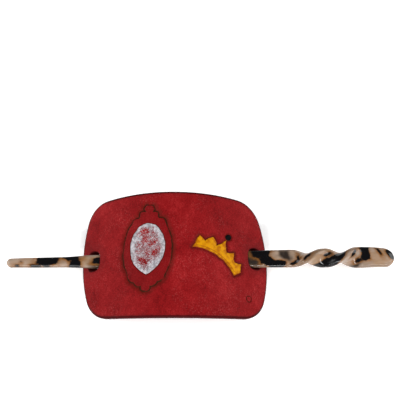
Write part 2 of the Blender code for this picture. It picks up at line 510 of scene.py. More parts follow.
# %% [markdown]
# ## The mirror
#
# A hand mirror in a scalloped oval frame is cut into the left half with a swivel knife. It is the same on
# both sides of its middle, so we draw the right half from the knob on top to the lobe at the bottom and
# mirror it. The glass is an egg with a point at the bottom. The whole mirror leans a little, as a thing
# that hangs on a wall does.
#
# A knife held in the hand never follows its line quite. We could move each corner by hand, but noise gives
# the whole line a small wander. Blender's vector noise starts from the clock unless it is given a seed.

# %% A hand-held knife
NOISE_SEED = 6
# The layer of the noise that the wander is read from.
KNIFE_LAYER = 4.0
noise.seed_set(NOISE_SEED)


def hand_cut(line, reach, size):
    """The line with the small wander of a hand-held knife: up to reach, turning back every size or so."""
    wander = [noise.noise_vector((x / size, y / size, KNIFE_LAYER)) for x, y in line]
    return line + reach * np.array(wander)[:, :2]


# %% Frame and glass
MIRROR_CENTRE = (-12.75, 2.3)
MIRROR_LEAN = radians(2.3)
# How far the knife wanders, and over what length.
FRAME_WANDER = (0.4, 3.4)
GLASS_WANDER = (0.3, 2.2)
# Each corner: how far right of the middle, how far up, and the bow of the stretch that leads to it.
FRAME_HALF = [
    (0.0, 22.6, 0.0),
    (2.1, 19.2, 1.55),
    (4.9, 18.3, 0.55),
    (5.3, 15.9, -0.15),
    (8.5, 13.8, 0.85),
    (9.2, -13.0, 3.55),
    (6.0, -16.6, 0.95),
    (2.3, -18.6, 0.85),
    (0.0, -21.0, 0.95),
]
GLASS_HALF = [
    (0.0, 13.3, 0.0),
    (5.9, 9.9, 0.85),
    (8.8, 0.6, 0.95),
    (0.0, -13.0, 2.4),
]


def both_halves(half):
    """A closed line from its right half, which runs with the clock from top to bottom."""
    left = []
    for (x0, y0, _), (_, _, bow) in zip(half[::-1][1:], half[::-1]):
        left.append((-x0, y0, bow))
    return drawn(half[1:] + left)


frame_line = hand_cut(turned(both_halves(FRAME_HALF), -MIRROR_LEAN, MIRROR_CENTRE), *FRAME_WANDER)
glass_line = hand_cut(turned(both_halves(GLASS_HALF), -MIRROR_LEAN, MIRROR_CENTRE), *GLASS_WANDER)
print("frame", np.ptp(frame_line, axis=0).round(1), "mm, glass", np.ptp(glass_line, axis=0).round(1), "mm")

# %% [markdown]
# ## The crown
#
# The crown lies on its side on the right half: a bent band with five teeth, the middle one tall and tipped
# with a black bead. The band follows a circle, so each corner is given as an angle on that circle and a
# height over its lower edge. Teeth at equal angles then lean outwards by themselves, as on a real crown.

# %% Crown, bead and maker's ring
CROWN_CENTRE = (8.8, -21.5)
CROWN_RADIUS = 24.5
CROWN_START = radians(88.0)
CROWN_END = radians(27.5)
BAND_HEIGHT = 4.3
# Height of each tooth over the band's lower edge, and how far its sides bow out.
TEETH = ((6.6, 0.12), (7.3, 0.5), (10.0, -0.35), (7.4, -0.2), (6.6, -0.2))
BEAD_HEIGHT = 11.4
BEAD_RADIUS = 1.5
# The line tooled along the band: its height, and how far it stops from each end, in radians.
BAND_LINE_HEIGHT = 0.95
BAND_LINE_INSET = 0.06
CROWN_WANDER = (0.45, 2.4)
MAKER_RING_CENTRE = (38.4, -21.0)
MAKER_RING_RADIUS = 1.5


def on_crown(angle, height):
    """A point at an angle round the crown's circle, height over the band's lower edge."""
    reach = CROWN_RADIUS + height
    return CROWN_CENTRE[0] + reach * cos(angle), CROWN_CENTRE[1] + reach * sin(angle)


def crown_outline():
    """Up and down each tooth with the clock, then back along the band's lower edge."""
    pitch = (CROWN_END - CROWN_START) / len(TEETH)
    half_turn = (CROWN_START - CROWN_END) / 2
    sag = CROWN_RADIUS * (1 - cos(half_turn))
    corners = [(*on_crown(CROWN_START, 0.0), -sag)]
    for number, (height, bow) in enumerate(TEETH):
        tip = CROWN_START + pitch * (number + 0.5)
        valley = CROWN_START + pitch * (number + 1)
        corners.append((*on_crown(tip, height), bow))
        corners.append((*on_crown(valley, BAND_HEIGHT), bow))
    corners.append((*on_crown(CROWN_END, 0.0), 0.0))
    return drawn(corners)


def ring(centre, radius):
    """A whole circle."""
    return arc(centre, radius, 0.0, 2 * pi, LINE_STEP)


crown_line = hand_cut(crown_outline(), *CROWN_WANDER)
bead_centre = on_crown((CROWN_START + CROWN_END) / 2, BEAD_HEIGHT)
bead_line = ring(bead_centre, BEAD_RADIUS)
band_line = arc(CROWN_CENTRE, CROWN_RADIUS + BAND_LINE_HEIGHT,
                CROWN_START - BAND_LINE_INSET, CROWN_END + BAND_LINE_INSET, LINE_STEP)
maker_line = ring(MAKER_RING_CENTRE, MAKER_RING_RADIUS)
print("crown", np.ptp(crown_line, axis=0).round(1), "mm, with", len(TEETH), "teeth")

# %% [markdown]
# ## How far is it to a line?
#
# Both the carving and the paint ask one question of every point: how far is it to that line, and on which
# side? With the answer stored in the mesh, a groove is a dip close to the line, and dye is a colour close
# to it. A painted image could do the same, but distances stay sharp at any zoom.

# %% Distances
def distance(points, line, closed=True):
    """Distance from each point to a line, in millimetres."""
    best = np.full(len(points), np.inf)
    ends = np.roll(line, -1, axis=0)
    for start, end in list(zip(line, ends))[:None if closed else -1]:
        along = end - start
        offset = points - start
        part = np.clip(offset @ along / (along @ along), 0, 1)
        best = np.minimum(best, np.hypot(offset[:, 0] - part * along[0], offset[:, 1] - part * along[1]))
    return best


def inside(points, line):
    """True where a point lies in a closed line: a ray from it crosses the line an odd number of times."""
    x, y = points.T
    odd = np.zeros(len(points), bool)
    for (x0, y0), (x1, y1) in zip(line, np.roll(line, -1, axis=0)):
        if y0 != y1:
            odd ^= ((y0 > y) != (y1 > y)) & (x < x0 + (y - y0) * (x1 - x0) / (y1 - y0))
    return odd


def depth_in(points, line):
    """Distance to a closed line, positive inside it and negative outside."""
    return np.where(inside(points, line), 1, -1) * distance(points, line)


CARVED = {"frame": frame_line, "glass": glass_line, "crown": crown_line, "bead": bead_line}
middle_depth = depth_in(np.array((MIRROR_CENTRE,)), glass_line)[0]
print("the mirror's middle is", round(float(middle_depth), 1), "mm deep in the glass")

# %% [markdown]
# ## Where the mesh needs points
#
# Plain leather needs a point for each millimetre or so, but a knife cut is only a few tenths wide. One
# even grid would waste most of its points. We lay a fine triangular lattice over the blank and keep a
# point only where it is needed: every point close to a cut, every second and then every fourth one further
# off, and every eighth on plain leather. Each coarser lattice is part of the finer one, so the sizes change
# smoothly.

# %% Lattice
COARSE = 0.96
LATTICE_MARGIN = 2.0
# Within each reach of a line, the lattice is halved once more.
REACHES = (3.2, 1.3, 0.45)


def lattice_points(lines):
    """Lattice points over the blank, denser towards the lines."""
    every = 2 ** len(REACHES)
    fine = COARSE / every
    reach_x, reach_y = HALF_LENGTH + LATTICE_MARGIN, HALF_WIDTH + LATTICE_MARGIN
    rows = int(reach_y / (fine * sqrt(3) / 2)) + 1
    columns = int(reach_x / fine + rows / 2) + 1
    column, row = np.meshgrid(np.arange(-columns, columns + 1), np.arange(-rows, rows + 1))
    column, row = column.ravel(), row.ravel()
    points = np.column_stack((fine * (column + row / 2), fine * row * sqrt(3) / 2))
    fits = (np.abs(points[:, 0]) < reach_x) & (np.abs(points[:, 1]) < reach_y)
    kept = fits & (column % every == 0) & (row % every == 0)
    chosen = [points[kept]]
    for reach in REACHES:
        every //= 2
        candidates = fits & (column % every == 0) & (row % every == 0) & ~kept
        for line in lines:
            low, high = line.min(axis=0) - reach, line.max(axis=0) + reach
            boxed = candidates & np.all((points > low) & (points < high), axis=1)
            spots = np.flatnonzero(boxed)
            spots = spots[distance(points[spots], line) < reach]
            kept[spots] = True
            candidates[spots] = False
            chosen.append(points[spots])
    return np.vstack(chosen)


carved_lines = [*CARVED.values(), maker_line]
dots = lattice_points(carved_lines)
print(len(dots), "lattice points")

# %% [markdown]
# ## Skin for the two faces
#
# A Delaunay triangulation joins scattered points into even triangles, and it keeps any edge that we insist
# on. We insist on the rims and on the cuts, so each cut has a crisp crease of edges along its bottom. The
# triangles that fall outside the blank or inside a hole are thrown away.

# %% Triangles between rims
# Lattice points this close to a rim or a cut are left out, because they would make slivers.
CLEAR_OF_RIM = 0.35
CLEAR_OF_CUT = 0.07
SAME_POINT = 1e-6


def skin(rims, cuts, dots):
    """Points and triangles that fill the first rim less the others, with the cuts as edges."""
    for rim in rims:
        dots = dots[inside(dots, rim) == (rim is rims[0])]
        dots = dots[distance(dots, rim) > CLEAR_OF_RIM]
    for cut in cuts:
        low, high = cut.min(axis=0) - CLEAR_OF_CUT, cut.max(axis=0) + CLEAR_OF_CUT
        close = np.all((dots > low) & (dots < high), axis=1)
        close[close] = distance(dots[close], cut) < CLEAR_OF_CUT
        dots = dots[~close]
    loops = rims + cuts
    edges = []
    total = 0
    for loop in loops:
        edges += [(total + step, total + (step + 1) % len(loop)) for step in range(len(loop))]
        total += len(loop)
    points = [Vector(point) for point in np.vstack(loops + [dots]).tolist()]
    made, _, faces, _, _, _ = delaunay_2d_cdt(points, edges, [], 0, SAME_POINT, False)
    made, faces = np.array(made), np.array(faces)
    middles = made[faces].mean(axis=1)
    kept = inside(middles, rims[0])
    for rim in rims[1:]:
        kept &= ~inside(middles, rim)
    return made, faces[kept]


# %% [markdown]
# ## The rims
#
# A finished leather edge is bevelled on both sides and rubbed until it is round and hard. A Bevel modifier
# would need a clean ring of faces, which the triangles don't give. So we run a quarter circle from each
# face to the wall between them, for the outer edge and, smaller, for the holes. Every row has as many
# points as the next, so neighbouring rows can be joined with a band of four-sided faces.

# %% Rows round an edge
EDGE_ROUND = 1.05
HOLE_ROUND = 0.5
ROUND_ROWS = 7
WALL_ROWS = 4


def edge_rows(rounding):
    """(how far out from the face's rim, height) for each row from the grain face down to the flesh face."""
    turns = [pi / 2 * row / ROUND_ROWS for row in range(ROUND_ROWS + 1)]
    upper = [(rounding * sin(turn), THICKNESS / 2 - rounding * (1 - cos(turn))) for turn in turns]
    wall_top = THICKNESS / 2 - rounding
    wall = [(rounding, wall_top * (1 - 2 * row / WALL_ROWS)) for row in range(1, WALL_ROWS)]
    lower = [(out, -height) for out, height in reversed(upper)]
    return upper + wall + lower


def add_band(mesh, rows):
    """Join equally long closed rows of (x, y, height) points with four-sided faces."""
    rings = [[mesh.verts.new(point) for point in row] for row in rows]
    for near, far in zip(rings, rings[1:]):
        for step, first in enumerate(near):
            after = (step + 1) % len(near)
            mesh.faces.new((first, near[after], far[after], far[step]))


def flat_rows(line_at, rounding, direction):
    """Rows of an edge: line_at gives the wall's line at a height, and direction 1 widens it to the faces."""
    rows = []
    for out, height in edge_rows(rounding):
        line = grown(line_at(height), direction * (rounding - out))
        rows.append(np.column_stack((line, np.full(len(line), height))))
    return rows


print(len(edge_rows(EDGE_ROUND)), "rows round the edge")

# %% [markdown]
# ## One closed sheet
#
# The two faces and the three rims are made apart, with border points in the same places. We could keep
# count of which points they share, but a Merge by Distance finds them for us and closes everything into one
# skin. It is all still flat, which keeps every later measure simple.

# %% Flat sheet
WELD = 0.001


def flat_sheet():
    """The whole leather piece before it is carved and bent: x along, y across, z over its middle."""
    sheet = bmesh.new()
    outer = flat_rows(lambda height: blank_line, EDGE_ROUND, -1)
    holes = [
        flat_rows(lambda height, side=side: hole_line(side, height), HOLE_ROUND, 1)
        for side in HOLE_WIDTHS
    ]
    for rows in (outer, *holes):
        add_band(sheet, rows)
    faces = ((0, THICKNESS / 2, carved_lines, dots), (-1, -THICKNESS / 2, [], lattice_points([])))
    for row, height, cuts, spread in faces:
        rims = [outer[row][:, :2]] + [rows[row][:, :2] for rows in holes]
        points, triangles = skin(rims, cuts, spread)
        corners = [sheet.verts.new((x, y, height)) for x, y in points]
        for triangle in triangles:
            sheet.faces.new([corners[corner] for corner in triangle])
    bmesh.ops.remove_doubles(sheet, verts=sheet.verts[:], dist=WELD)
    bmesh.ops.recalc_face_normals(sheet, faces=sheet.faces[:])
    mesh = bpy.data.meshes.new("leather_slide")
    sheet.to_mesh(mesh)
    sheet.free()
    return mesh


leather_mesh = flat_sheet()
flat = np.array([vertex.co for vertex in leather_mesh.vertices])
print(len(flat), "points and", len(leather_mesh.polygons), "faces in the leather")

# %% [markdown]
# ## What each point knows
#
# We measure the distances once and store them on the mesh under plain names, and the finish reads them
# later. A vertex group could hold a share from 0 to 1, but an attribute holds real millimetres. The cuts
# are on the outer face only, so points of the rims and the underside get a value far outside, and no cut
# or paint reaches them.

# %% Distances on the sheet
FAR = 9.0
on_grain = flat[:, 2] > THICKNESS / 2 - WELD
grain_points = flat[on_grain][:, :2]
measures = {}


def measure(name, values):
    """Keep a value for each point: the given ones on the grain face, and FAR outside everywhere else."""
    stored = np.full(len(flat), -FAR)
    stored[on_grain] = np.clip(values, -FAR, FAR)
    measures[name] = stored


for name, line in CARVED.items():
    measure(name, depth_in(grain_points, line))
measure("band", -distance(grain_points, band_line, closed=False))
measure("maker", -distance(grain_points, maker_line))
rim_distance = distance(flat[:, :2], blank_line)
print({name: round(float(values.max()), 2) for name, values in measures.items()})

# %% [markdown]
# ## Carving
#
# After the knife cut, a beveller presses the leather down outside the line, so that the inside seems to
# stand up. That makes a steep step on the inside and a long soft slope outside, a bit uneven from the
# separate blows of the tool. The bead is pushed up from below like a small dome. All this could be bump in
# the finish, but real relief also shows from the side. Where cuts meet, the deepest counts, and the other
# effects are heights in millimetres that simply add up.

# %% Height of the carved face
# Each cut: how deep it is pressed, how far it slopes away outside, and how wide its step is inside.
FRAME_CUT = (0.42, 2.2, 0.45)
GLASS_CUT = (0.26, 0.4, 0.4)
CROWN_CUT = (0.5, 1.9, 0.35)
BEAD_CUT = (0.4, 1.2, 0.2)
PILLOW_HEIGHT = 0.16
PILLOW_RISE = (0.2, 1.8)
BAND_LINE_WIDTH = 0.3
DOME_HEIGHT = 0.75
STAMP_DEPTH = 0.28
STAMP_WIDTH = (0.12, 0.34)
# Unevenness of the tool's blows and of the sheet: its reach, its size and the layer of the noise it is from.
BLOWS = (0.35, 1.6, 3.0)
WIDE_WAVES = (0.13, 15.0, 1.0)
SMALL_WAVES = (0.04, 4.0, 2.0)
CALM_RIM = 5.0


def eased(values, low, high):
    """The eased step of a finish's ramp, for arrays."""
    part = np.clip((values - low) / (high - low), 0, 1)
    return part * part * (3 - 2 * part)


def uneven(points, reach, size, layer):
    """Smooth noise between -reach and reach whose lumps are about size millimetres across."""
    return reach * np.array([noise.noise((x / size, y / size, layer)) for x, y in points])


def bevelled(depth, drop, slope, step):
    """A cut at depth 0 that is pressed down outside over slope and has a steep step of width step inside."""
    return -drop * np.where(depth < 0, 1 - eased(-depth, 0, slope), 1 - eased(depth, 0, step))


def carving(points):
    """Height of the grain face over a plain sheet, in millimetres."""
    at = {name: values[on_grain] for name, values in measures.items()}
    blows = 1 + uneven(points, *BLOWS)
    frame_cut = bevelled(at["frame"], *FRAME_CUT) * blows
    glass_cut = bevelled(at["glass"], *GLASS_CUT)
    crown_cut = bevelled(at["crown"], *CROWN_CUT) * blows
    bead_cut = bevelled(at["bead"], *BEAD_CUT)
    cuts = np.minimum.reduce((frame_cut, glass_cut, crown_cut, bead_cut))
    band_cut = (1 - eased(-at["band"], 0, BAND_LINE_WIDTH)) * (at["crown"] > PILLOW_RISE[0])
    pillow = PILLOW_HEIGHT * eased(at["crown"], *PILLOW_RISE) - PILLOW_HEIGHT * band_cut
    dome = DOME_HEIGHT * np.sqrt(np.clip(1 - (1 - at["bead"] / BEAD_RADIUS) ** 2, 0, 1)) * (at["bead"] > 0)
    stamp = -STAMP_DEPTH * (1 - eased(-at["maker"], *STAMP_WIDTH))
    waves = uneven(points, *WIDE_WAVES) + uneven(points, *SMALL_WAVES)
    calm = eased(rim_distance[on_grain], EDGE_ROUND, EDGE_ROUND + CALM_RIM)
    return cuts + pillow + dome + stamp + waves * calm


heights = carving(grain_points)
flat[on_grain, 2] += heights
print("carving runs from", round(float(heights.min()), 2), "to", round(float(heights.max()), 2), "mm")

# %% Bent leather with its measures
# A hole's rounded shape grown by 1 reaches about this share of its height further out.
HOLE_GROWTH = 0.7


def store(mesh, name, values, kind="FLOAT"):
    """Put one value, or one vector, on each point of the mesh under a name."""
    layer = mesh.attributes.new(name, kind, "POINT")
    key = "value" if kind == "FLOAT" else "vector"
    layer.data.foreach_set(key, np.asarray(values, np.float32).ravel())


def hole_distance(place):
    """About how far a bent point is from the wall of its hole, in millimetres."""
    half_widths = np.where(place[:, 0] < 0, HOLE_WIDTHS[-1], HOLE_WIDTHS[1]) / 2
    across = np.abs(place[:, 1]) / half_widths
    up = np.abs(place[:, 2] - stick_axis) / (HOLE_HEIGHT / 2)
    grown_by = (across ** SECTION_POWER + up ** SECTION_POWER) ** (1 / SECTION_POWER) - 1
    return np.clip(grown_by, 0, FAR) * HOLE_HEIGHT * HOLE_GROWTH


place = bend(flat)
leather_mesh.vertices.foreach_set("co", (place * MM).ravel())
for name, values in measures.items():
    store(leather_mesh, name, values)
store(leather_mesh, "rim", rim_distance)
store(leather_mesh, "hole", hole_distance(place))
store(leather_mesh, "sheet", flat, "FLOAT_VECTOR")
leather_mesh.shade_smooth()
leather_mesh.update()
leather = add_object("leather_slide", leather_mesh)
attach(leather, "slide")
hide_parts("leather_plate")
print("leather spans", np.ptp(place, axis=0).round(2), "mm")

# %% [markdown]
# ## The leather's finish
#
# Dyed leather is never one red. The dye takes unevenly, so there are wide blotches and streaks from the
# dauber.
# Pale specks on the crests of the grain are painted highlights. A dark antique paste is rubbed on next, and
# it stays in the cuts and stains the leather beside them; that dark red on the bevelled side is also painted
# shadow of the raised shapes. Then the mirror's glass is dry-brushed with pale silver so that the red shows
# through, the crown is painted in ochre with a darker wash along its sides, and the edges are stained and
# burnished, with painted shade round the holes. We could paint all this as an image, but coats that are mixed
# in the order in which the maker puts them on stay sharp close by, and each can be changed alone.

# %% Dyed grain
DEEP_RED = dye(96, 9, 12)
FULL_RED = dye(132, 19, 22)
BRIGHT_RED = dye(162, 38, 40)
CREST_HIGHLIGHT_PINK = dye(196, 96, 94)
# The tones at which the three reds show fully.
DEEP_TONE = 0.36
FULL_TONE = 0.5
BRIGHT_TONE = 0.64
GRAIN_CELL = 0.8
CREST_HIGHLIGHT_SHARE = 0.24


def dyed_grain(finish, sheet):
    """The red of the plain grain face with painted highlights on its crests, and how light it is at each
    place.
    """
    blotch = finish.cloud(sheet, 17.0)
    patch = finish.cloud(sheet, 4.5, 3.0)
    streak = finish.cloud(sheet, 1.25, 3.0, 0.6, across=0.5)
    speck = finish.cloud(sheet, 0.42, 2.0, 0.7)
    tone = 0.26 * blotch + 0.14 * patch + 0.14 * streak + 0.46 * speck
    red = finish.blend(tone.ramp(DEEP_TONE, FULL_TONE), DEEP_RED, FULL_RED)
    red = finish.blend(tone.ramp(FULL_TONE, BRIGHT_TONE), red, BRIGHT_RED)
    # Painted highlights: pale pink specks on the crests of the grain, gathered in broad patches.
    crest = finish.cells(sheet, GRAIN_CELL).near(0.1, 0.46)
    highlight_patches = finish.cloud(sheet, 11.0, 3.0).ramp(0.4, 0.66)
    return finish.blend(crest * highlight_patches * CREST_HIGHLIGHT_SHARE, red, CREST_HIGHLIGHT_PINK), tone


# %% Antique paste in the cuts, and painted shadow beside them
SHADED_RED = dye(92, 8, 10)
SHADE_AND_STAIN_RED = dye(86, 22, 14)
PASTE_BROWN = dye(48, 26, 12)
# How far the painted bevel shadow and the paste's stain fade outwards from each shape.
FRAME_SHADE_AND_STAIN = 3.0
CROWN_SHADE_AND_STAIN = 2.2
BEAD_SHADE_AND_STAIN = 1.2
FRAME_SHADE = 0.36
SHADE_AND_STAIN_STRENGTH = 0.85
FINE_CUT = 0.8
PASTE_STRENGTH = 0.9


def pasted(finish, red, sheet):
    """Brown paste on the red in every cut, and its stain with painted bevel shadow fading outwards on the
    bevelled side.
    """
    wobble = 0.5 * finish.cloud(sheet, 1.1) - 0.25
    rubbed = finish.cloud(sheet, 2.6, 3.0, 0.6)
    outside_frame = -finish.read("frame")
    outside_crown = -finish.read("crown")
    outside_bead = -finish.read("bead")
    # Painted shadow on the bevelled side of each raised shape, mixed with the paste's stain.
    frame_shade_and_stain = (outside_frame + wobble).near(0.1, FRAME_SHADE_AND_STAIN) * outside_frame.ramp(-0.3, 0.0)
    crown_shade_and_stain = (outside_crown + wobble).near(0.1, CROWN_SHADE_AND_STAIN)
    bead_shade_and_stain = (outside_bead + wobble).near(0.1, BEAD_SHADE_AND_STAIN)
    shade_and_stain = frame_shade_and_stain.larger(crown_shade_and_stain).larger(bead_shade_and_stain)
    within_frame = finish.read("frame").ramp(0.0, 0.8) * finish.read("glass").near(-0.6, 0.2)
    red = finish.blend(within_frame * FRAME_SHADE, red, SHADED_RED)
    colour = finish.blend(shade_and_stain * rubbed.ramp(0.1, 0.6) * SHADE_AND_STAIN_STRENGTH, red, SHADE_AND_STAIN_RED)
    cut_width = abs(outside_frame + wobble * 0.5) - 0.5 * rubbed
    frame_paste = cut_width.near(-0.2, 0.4) * rubbed.ramp(0.12, 0.52)
    glass_paste = abs(finish.read("glass") + wobble * 0.2).near(0.02, 0.36) * FINE_CUT
    maker_paste = abs(finish.read("maker")).near(0.1, 0.34) * FINE_CUT
    paste = frame_paste.larger(glass_paste).larger(maker_paste)
    return finish.blend(paste * PASTE_STRENGTH, colour, PASTE_BROWN)


# %% Silver glass
DULL_SILVER = dye(142, 138, 142)
PALE_SILVER = dye(196, 193, 198)
BRISTLE_SIZE = 0.5
# The brush leaves silver where the bristle noise is above this.
SILVER_FROM = 0.365
MIDDLE_THINNESS = 0.13
DRIFT_THINNESS = 0.42


def silvered(finish, colour, sheet):
    """Dry-brushed silver inside the glass line, thick at its rim and broken in the middle."""
    depth = finish.read("glass")
    drift = finish.cloud(sheet, 3.4)
    bristle = finish.cloud(sheet, BRISTLE_SIZE, 4.0, 0.75)
    thinness = depth.ramp(0.6, 3.6) * MIDDLE_THINNESS + (drift - 0.5) * DRIFT_THINNESS
    cover = (bristle - SILVER_FROM - thinness).ramp(-0.03, 0.05) * depth.ramp(0.1, 0.3)
    shade = finish.cloud(sheet, 1.6, 3.0)
    silver = finish.blend(shade.ramp(0.35, 0.65), DULL_SILVER, PALE_SILVER)
    return finish.blend(cover, colour, silver), cover


# %% Ochre crown and black bead
DEEP_OCHRE = dye(176, 104, 3)
BRIGHT_OCHRE = dye(210, 143, 8)
AMBER_WASH = dye(146, 76, 8)
BAND_BROWN = dye(142, 80, 12)
BEAD_BLACK = dye(11, 10, 12)
WASH_STRENGTH = 0.75
BAND_STRENGTH = 0.6


def gilded(finish, colour, sheet):
    """Ochre paint in the crown with an amber wash at its sides, and a black bead."""
    depth = finish.read("crown")
    wash = finish.cloud(sheet, 2.1, 3.0)
    ochre = finish.blend(wash.ramp(0.36, 0.62), DEEP_OCHRE, BRIGHT_OCHRE)
    side_wash = (depth + 0.7 * wash).near(0.45, 0.95)
    ochre = finish.blend(side_wash * WASH_STRENGTH, ochre, AMBER_WASH)
    band = (-finish.read("band")).near(0.1, 0.42)
    ochre = finish.blend(band * BAND_STRENGTH, ochre, BAND_BROWN)
    painted = depth.ramp(-0.06, 0.08)
    beaded = finish.read("bead").ramp(-0.1, 0.05)
    colour = finish.blend(painted, colour, ochre)
    return finish.blend(beaded, colour, BEAD_BLACK), painted.larger(beaded), beaded


# %% Burnished edges and flesh side
RIM_STAIN_AND_HOLE_SHADE_RED = dye(96, 22, 24)
DARK_SUEDE = dye(92, 30, 26)
PALE_SUEDE = dye(140, 66, 56)
BURNISHED_DARK = dye(34, 5, 6)
BURNISHED_RED = dye(68, 10, 12)
RIM_STAIN_AND_HOLE_SHADE_STRENGTH = 0.4
BURNISH_STRENGTH = 0.9
# Shares of the thickness below the sheet's middle between which the flesh side begins.
FLESH_FROM = (0.2, 0.42)


def edged(finish, colour, sheet):
    """Dark burnished rims, a stained band along the rim, painted shade with some stain round the holes, and
    the fibrous flesh side underneath.
    """
    level = finish.node("ShaderNodeSeparateXYZ", {}, {0: sheet}, "Z")
    rim = finish.read("rim")
    hole = finish.read("hole")
    ragged = 0.9 * finish.cloud(sheet, 1.5, 3.0) - 0.45
    # Darker red along the rim is stain; round the holes it is painted shade where the stick passes, with some
    # stain.
    stain_and_hole_shade = (rim + ragged * 2).near(0.6, 2.6).larger((hole + ragged * 2).near(0.4, 4.5))
    colour = finish.blend(stain_and_hole_shade * RIM_STAIN_AND_HOLE_SHADE_STRENGTH, colour, RIM_STAIN_AND_HOLE_SHADE_RED)
    fibre = finish.cloud(sheet, 0.5, 4.0, 0.7, along=0.5)
    suede = finish.blend(fibre.ramp(0.3, 0.7), DARK_SUEDE, PALE_SUEDE)
    below = (-level).ramp(*(THICKNESS * share for share in FLESH_FROM))
    colour = finish.blend(below, colour, suede)
    burnished = (rim + ragged * 0.5).near(0.7, 1.45).larger((hole + ragged * 0.5).near(0.15, 0.6))
    polish = finish.blend(finish.cloud(sheet, 2.5), BURNISHED_DARK, BURNISHED_RED)
    return finish.blend(burnished * BURNISH_STRENGTH, colour, polish), below, burnished


# %% Leather material
LEATHER_SHEEN = 0.04


def leather_finish():
    """All coats on the leather, with its grain as heights in millimetres."""
    finish = Finish("red_leather")
    sheet = finish.read("sheet", "Vector")
    colour, tone = dyed_grain(finish, sheet)
    colour = pasted(finish, colour, sheet)
    colour, silver = silvered(finish, colour, sheet)
    colour, paint, bead = gilded(finish, colour, sheet)
    colour, below, burnished = edged(finish, colour, sheet)
    pebble = finish.cells(sheet, 0.85)
    crease = finish.cloud(sheet, 1.9, 3.0, 0.6, across=0.6)
    pore = finish.cloud(sheet, 0.3)
    grain = 0.05 * pebble + 0.10 * crease + 0.022 * pore
    fuzz = 0.16 * finish.cloud(sheet, 0.35, 3.0, 0.7)
    height = grain * (1 - 0.75 * burnished) * (1 - below) + fuzz * below + 0.05 * silver + 0.03 * paint
    rough = 0.60 - 0.12 * tone + 0.3 * below - 0.2 * burnished - 0.08 * silver - 0.1 * paint + 0.2 * bead
    return finish.surface({
        "Base Color": colour,
        "Roughness": rough,
        "Normal": finish.raise_surface(height),
        "Specular IOR Level": LEATHER_SHEEN,
    })


leather_mesh.materials.append(leather_finish())
print("leather finish has", len(leather_mesh.materials[0].node_tree.nodes), "nodes")

# %% [markdown]
# ## The stick's shape
#
# The stick is sawn from acetate sheet, tumbled until its edges are round, and its handle is twisted one
# whole turn while hot. Its section is the same rounded rectangle everywhere; only its size and its turn
# change along the way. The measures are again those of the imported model. A Simple Deform twist could turn
# the handle, but with the turn as a formula we also know where each point was in the straight bar.

# %% Laws of the stick
SHAFT_THICKNESS = 4.2
HANDLE_THICKNESS = 5.1
# Where the shaft thickens into the handle, and where the handle is twisted, along X.
THICKEN = (57.0, 66.0)
TWIST = (59.5, 92.9)
TWIST_EASE = 3.0
TWIST_TURN = radians(-360)
# The handle's flat end leans this much to the front, from this place on.
PADDLE_SKEW = 0.6
PADDLE_SKEW_X = 98.0
# Places along X, and the width at each.
WIDTH_PLACES = (-83.5, -70.0, -54.0, -41.0, 0.0, 44.0, 60.0, 75.0, 94.0, 104.0, 109.6)
WIDTHS = (4.5, 5.0, 5.2, 6.7, 7.7, 8.7, 9.1, 9.6, 10.7, 9.8, 8.8)
tip_x = stick_low.x / MM
end_x = stick_high.x / MM


def stick_turn(x):
    """Turn of the section about X, its rate eased in and out."""
    rate = TWIST_TURN / (TWIST[1] - TWIST[0])
    start, end = TWIST[0] - TWIST_EASE / 2, TWIST[1] + TWIST_EASE / 2
    turn = rate * (x - TWIST[0])
    turn = np.where(x < start + TWIST_EASE, rate * (x - start) ** 2 / (2 * TWIST_EASE), turn)
    turn = np.where(x > end - TWIST_EASE, TWIST_TURN - rate * (end - x) ** 2 / (2 * TWIST_EASE), turn)
    return np.where(x <= start, 0.0, np.where(x >= end, TWIST_TURN, turn))


def stick_half_sizes(x, swell):
    """Half width and half thickness at x; a swell under 1 draws them in for a rounded end."""
    width = np.interp(x, WIDTH_PLACES, WIDTHS)
    thickness = SHAFT_THICKNESS + (HANDLE_THICKNESS - SHAFT_THICKNESS) * eased(x, *THICKEN)
    return width / 2 * swell, thickness / 2 * np.sqrt(swell)


print("the stick is", round(end_x - tip_x, 1), "mm long")

# %% Stations along the stick
STATION_STEP = 0.42
ROUND_STATIONS = 16
# The outermost ring stands this part of a step in from the very end.
FIRST_STATION = 0.35
SECTION_POINTS = 60


def stations():
    """Places along X and the swell at each: a round tip, the bar and a round end."""
    tip_reach = WIDTHS[0] / 2
    end_reach = WIDTHS[-1] / 2
    turns = pi / 2 * (np.arange(ROUND_STATIONS) + FIRST_STATION) / ROUND_STATIONS
    middle = np.arange(tip_x + tip_reach, end_x - end_reach, STATION_STEP)
    x = np.concatenate((tip_x + tip_reach * (1 - np.cos(turns)), middle,
                        end_x - end_reach * (1 - np.cos(turns[::-1]))))
    swell = np.concatenate((np.sin(turns), np.ones(len(middle)), np.sin(turns[::-1])))
    return x, swell


# %% Stick mesh
def stick_rings(x, swell):
    """Each point in the straight bar, and where the twist takes it, ring by ring."""
    half_width, half_height = stick_half_sizes(x, swell)
    unit = rounded_bar(1.0, 1.0, SECTION_POINTS)
    across = half_width[:, None] * unit[:, 0]
    up = half_height[:, None] * unit[:, 1]
    along = np.broadcast_to(x[:, None], across.shape)
    turn = stick_turn(x)[:, None]
    shift = -PADDLE_SKEW * eased(x, PADDLE_SKEW_X, end_x)[:, None]
    y = shift + across * np.cos(turn) - up * np.sin(turn)
    z = stick_axis + across * np.sin(turn) + up * np.cos(turn)
    bar = np.stack((along, across, up), axis=2).reshape(-1, 3)
    twisted = np.stack((along, y, z), axis=2).reshape(-1, 3)
    return bar, twisted


def ring_faces(rings, points):
    """Four-sided faces between rings of points, and one flat face at each end."""
    faces = [tuple(range(points))[::-1], tuple(range((rings - 1) * points, rings * points))]
    for near in range(rings - 1):
        for step in range(points):
            after = (step + 1) % points
            faces.append((near * points + step, near * points + after,
                          (near + 1) * points + after, (near + 1) * points + step))
    return faces


